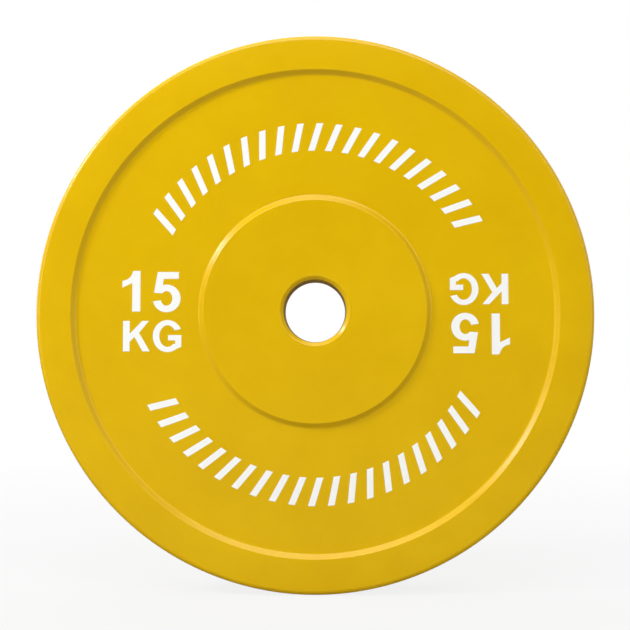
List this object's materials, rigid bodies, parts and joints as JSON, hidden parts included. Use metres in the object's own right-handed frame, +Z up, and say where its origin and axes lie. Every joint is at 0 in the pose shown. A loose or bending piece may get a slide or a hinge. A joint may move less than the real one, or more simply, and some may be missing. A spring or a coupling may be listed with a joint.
{
  "type": "bumper weight plate",
  "caption": "Round moulded rubber weight plate with a dished web, raised rim and boss, and a steel-lined bore for a barbell sleeve.",
  "frame": {"origin": "centre of the bore, halfway through the plate's thickness, which is also the centre of its box", "axes": "+Y along the bore, from the front face to the rear face; +Z up, with the plate standing on its tread"},
  "size_m": [0.45, 0.064, 0.45],
  "materials": {
    "yellow_rubber": "satin, compression moulded",
    "hub_steel": "turned and blackened",
    "flange_steel": "stamped, bare"
  },
  "bodies": {
    "root": {"rubber_body": "yellow_rubber", "hub_sleeve": "hub_steel", "anchor_flange_front": "flange_steel", "anchor_flange_rear": "flange_steel"}
  },
  "joints": []
}
